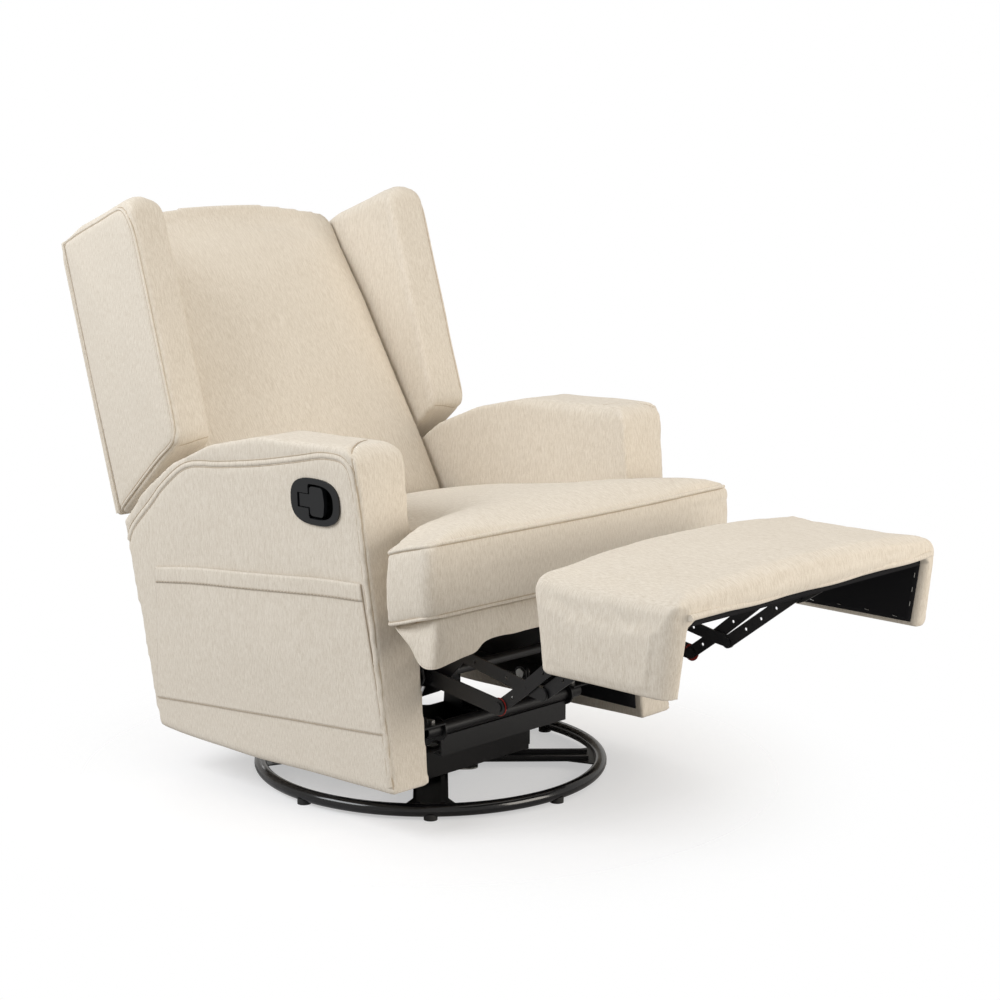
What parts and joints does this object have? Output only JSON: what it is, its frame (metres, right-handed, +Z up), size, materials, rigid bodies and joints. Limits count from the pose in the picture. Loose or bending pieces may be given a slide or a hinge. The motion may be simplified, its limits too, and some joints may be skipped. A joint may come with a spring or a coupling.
{
  "type": "swivel glider recliner",
  "caption": "Upholstered wingback recliner with rolled-edge arms, a T-shaped seat cushion, a fold-out footrest and a recessed side handle on a round swivel and glide base.",
  "frame": {"origin": "on the floor, on the swivel axis at the middle of the round base ring", "axes": "+Z up along the swivel axis; the chair faces -Y, so +Y is behind it; +X is the sitter's left side and -X the side with the handle"},
  "size_m": [0.786, 1.4786, 1.0426],
  "materials": {
    "black_steel": "black powder coat, satin",
    "zinc": "zinc plated",
    "black_plastic": "fine grained",
    "red_plastic": "plain",
    "wood": "sawn plywood and boards",
    "cream_fabric": "woven chenille over foam",
    "black_cloth": "thin black lining cloth",
    "webbing": "woven strap"
  },
  "bodies": {
    "base": {"base_ring": "black_steel", "base_spokes": "black_steel", "ring_glides": "black_plastic", "bearing_lower_plate": "zinc", "bearing_ball_ring": "zinc", "swivel_bolt": "zinc"},
    "swivel": {"bearing_upper_plate": "black_steel", "glide_base_frame": "black_steel", "glide_top_bolts": "zinc"},
    "glide_link_1": {"glide_link_front_left": "black_steel"},
    "glide_link_2": {"glide_link_front_right": "black_steel"},
    "glide_link_3": {"glide_link_rear_left": "black_steel"},
    "glide_link_4": {"glide_link_rear_right": "black_steel"},
    "chair": {"carriage_plate_right": "black_steel", "carriage_plate_left": "black_steel", "cross_tubes": "black_steel", "front_apron": "black_steel", "mechanism_plate_right": "black_steel", "mechanism_plate_left": "black_steel", "mechanism_bolts": "zinc", "seat_frame": "wood", "seat_webbing": "webbing", "seat_cushion": "cream_fabric", "seat_skirt": "cream_fabric", "arm_frame_right": "wood", "arm_frame_left": "wood", "arm_cover_right": "cream_fabric", "arm_cover_left": "cream_fabric", "arm_dust_covers": "black_cloth", "side_pocket": "cream_fabric", "rear_panel": "cream_fabric", "handle_bezel": "black_plastic", "paddle_pin": "zinc", "release_cable": "black_plastic", "cable_sleeve": "zinc", "pawl_spring": "zinc"},
    "back": {"back_frame": "wood", "back_brackets": "black_steel", "back_cushion": "cream_fabric", "wing_right": "cream_fabric", "wing_left": "cream_fabric", "outside_back": "cream_fabric"},
    "upper_left": {"upper_link_left": "black_steel"},
    "upper_right": {"upper_link_right": "black_steel"},
    "cross_left": {"cross_link_left": "black_steel"},
    "cross_right": {"cross_link_right": "black_steel"},
    "lower_links": {"lower_link_left": "black_steel", "lower_link_right": "black_steel", "lower_link_washers": "red_plastic", "torque_tube": "black_steel"},
    "control_left": {"control_link_left": "black_steel"},
    "control_right": {"control_link_right": "black_steel"},
    "footrest": {"footrest_brackets": "black_steel", "footrest_board": "wood", "footrest_pad": "cream_fabric", "footrest_dust_cloth": "black_cloth"},
    "paddle": {"release_paddle": "black_plastic"},
    "pawl": {"release_pawl": "zinc"}
  },
  "joints": [
    {"name": "swivel_turn", "type": "hinge", "parent": "base", "child": "swivel", "pos_m": [0, 0, 0.034], "axis": [0, 0, 1], "continuous": true},
    {"name": "glide_1", "type": "hinge", "parent": "swivel", "child": "glide_link_1", "pos_m": [0.1562, -0.09, 0.165], "axis": [1, 0, 0], "range_deg": [-25, 25]},
    {"name": "glide_2", "type": "hinge", "parent": "swivel", "child": "glide_link_2", "pos_m": [-0.1562, -0.09, 0.165], "axis": [1, 0, 0], "range_deg": [-25, 25]},
    {"name": "glide_3", "type": "hinge", "parent": "swivel", "child": "glide_link_3", "pos_m": [0.1562, 0.09, 0.165], "axis": [1, 0, 0], "range_deg": [-25, 25]},
    {"name": "glide_4", "type": "hinge", "parent": "swivel", "child": "glide_link_4", "pos_m": [-0.1562, 0.09, 0.165], "axis": [1, 0, 0], "range_deg": [-25, 25]},
    {"name": "glide_level", "type": "hinge", "parent": "glide_link_1", "child": "chair", "pos_m": [0.1562, -0.09, 0.075], "axis": [1, 0, 0], "range_deg": [-25, 25]},
    {"name": "recline", "type": "hinge", "parent": "chair", "child": "back", "pos_m": [0, 0.28, 0.4], "axis": [-1, 0, 0], "range_deg": [-4, 28]},
    {"name": "footrest_swing", "type": "hinge", "parent": "chair", "child": "upper_left", "pos_m": [0.244, -0.3034, 0.3144], "axis": [1, 0, 0], "range_deg": [0, 109.2]},
    {"name": "upper_right_swing", "type": "hinge", "parent": "chair", "child": "upper_right", "pos_m": [-0.244, -0.3034, 0.3144], "axis": [1, 0, 0], "range_deg": [0, 109.2]},
    {"name": "cross_left_fold", "type": "hinge", "parent": "upper_left", "child": "cross_left", "pos_m": [0.2485, -0.465, 0.2831], "axis": [1, 0, 0], "range_deg": [-118.3, 0]},
    {"name": "cross_right_fold", "type": "hinge", "parent": "upper_right", "child": "cross_right", "pos_m": [-0.2485, -0.465, 0.2831], "axis": [1, 0, 0], "range_deg": [-118.3, 0]},
    {"name": "lower_links_swing", "type": "hinge", "parent": "chair", "child": "lower_links", "pos_m": [0, -0.2503, 0.2647], "axis": [1, 0, 0], "range_deg": [0, 111.6]},
    {"name": "control_left_fold", "type": "hinge", "parent": "upper_left", "child": "control_left", "pos_m": [0.2395, -0.4987, 0.2786], "axis": [1, 0, 0], "range_deg": [-118.5, 0]},
    {"name": "control_right_fold", "type": "hinge", "parent": "upper_right", "child": "control_right", "pos_m": [-0.2395, -0.4987, 0.2786], "axis": [1, 0, 0], "range_deg": [-118.5, 0]},
    {"name": "footrest_turn", "type": "hinge", "parent": "cross_left", "child": "footrest", "pos_m": [0.2485, -0.6054, 0.3987], "axis": [1, 0, 0], "range_deg": [0, 97.5]},
    {"name": "paddle_pull", "type": "hinge", "parent": "chair", "child": "paddle", "pos_m": [-0.38179, -0.078, 0.56369], "axis": [0.0523, 0, -0.9986], "range_deg": [0, 18], "stiffness_Nm_per_rad": 0.6, "springref_deg": -5.73},
    {"name": "pawl_lift", "type": "hinge", "parent": "chair", "child": "pawl", "pos_m": [-0.228, -0.205, 0.25], "axis": [-1, 0, 0], "range_deg": [0, 9]}
  ],
  "couplings": [
    {"joint": "glide_2", "follows": "glide_1", "ratio": 1},
    {"joint": "glide_3", "follows": "glide_1", "ratio": 1},
    {"joint": "glide_4", "follows": "glide_1", "ratio": 1},
    {"joint": "glide_level", "follows": "glide_1", "ratio": -1},
    {"joint": "upper_right_swing", "follows": "footrest_swing", "ratio": 1},
    {"joint": "cross_left_fold", "follows": "footrest_swing", "ratio": -1.0827},
    {"joint": "cross_right_fold", "follows": "footrest_swing", "ratio": -1.0827},
    {"joint": "lower_links_swing", "follows": "footrest_swing", "ratio": 1.0212},
    {"joint": "control_left_fold", "follows": "footrest_swing", "ratio": -1.0847},
    {"joint": "control_right_fold", "follows": "footrest_swing", "ratio": -1.0847},
    {"joint": "footrest_turn", "follows": "footrest_swing", "ratio": 0.89215},
    {"joint": "pawl_lift", "follows": "paddle_pull", "ratio": 0.5}
  ]
}
